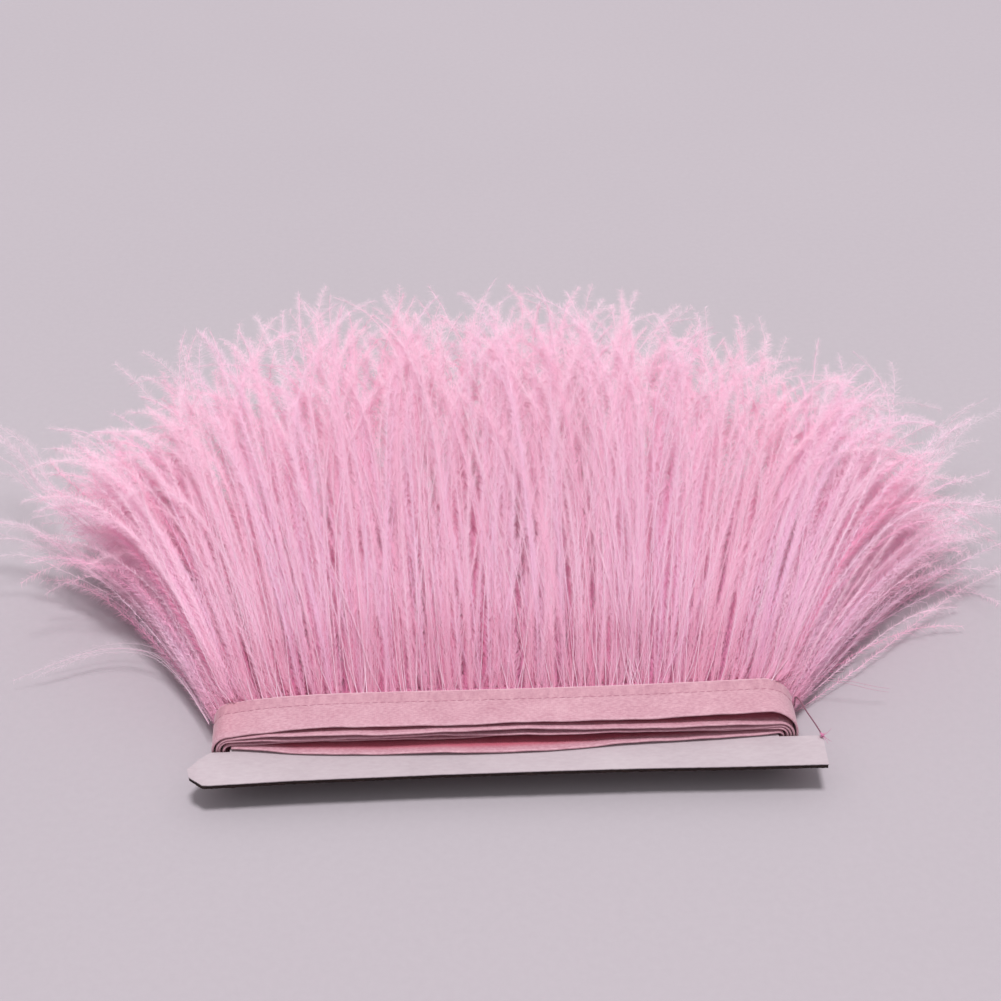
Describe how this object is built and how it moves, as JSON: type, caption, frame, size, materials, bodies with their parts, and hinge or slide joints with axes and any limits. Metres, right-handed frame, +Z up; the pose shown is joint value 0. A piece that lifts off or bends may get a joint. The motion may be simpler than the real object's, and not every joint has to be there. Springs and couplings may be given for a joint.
{
  "type": "feather fringe trim on a winding card",
  "caption": "Pink ostrich feather fringe trim on a folded satin header tape, wound flat around a notched white paperboard card that slides out.",
  "frame": {"origin": "middle of the object's footprint, on the surface that it lies on", "axes": "+Z up, +X to the right along the tape, +Y from the tape towards the feather tips"},
  "size_m": [0.3262, 0.1592, 0.0829],
  "materials": {
    "satin": "satin",
    "thread": "matte",
    "board": "matte",
    "paper": "matte",
    "feather": "matte",
    "fluff": "matte",
    "quill": "satin"
  },
  "bodies": {
    "coil": {"header_tape": "satin", "quill_root_strip": "quill", "needle_thread": "thread", "bobbin_thread": "thread", "fringe_under_4": "feather", "fringe_under_3": "feather", "fringe_under_2": "feather", "fringe_under_1": "feather", "fringe_top_1": "feather", "fringe_top_2": "feather", "fringe_top_3": "feather", "fringe_top_4": "feather", "fringe_top_5": "feather", "stray_plume_left_low": "fluff", "stray_plume_left_mid": "fluff", "stray_plume_left_back": "fluff", "stray_plume_right_low": "fluff", "stray_plume_right_mid": "fluff", "stray_plume_right_back": "fluff", "thread_tail": "thread", "thread_knot": "thread"},
    "card": {"card_board": "board", "card_paper_face": "paper"}
  },
  "joints": [
    {"name": "card_slide", "type": "slide", "parent": "coil", "child": "card", "axis": [0, -1, 0], "range_m": [0, 0.014]}
  ]
}
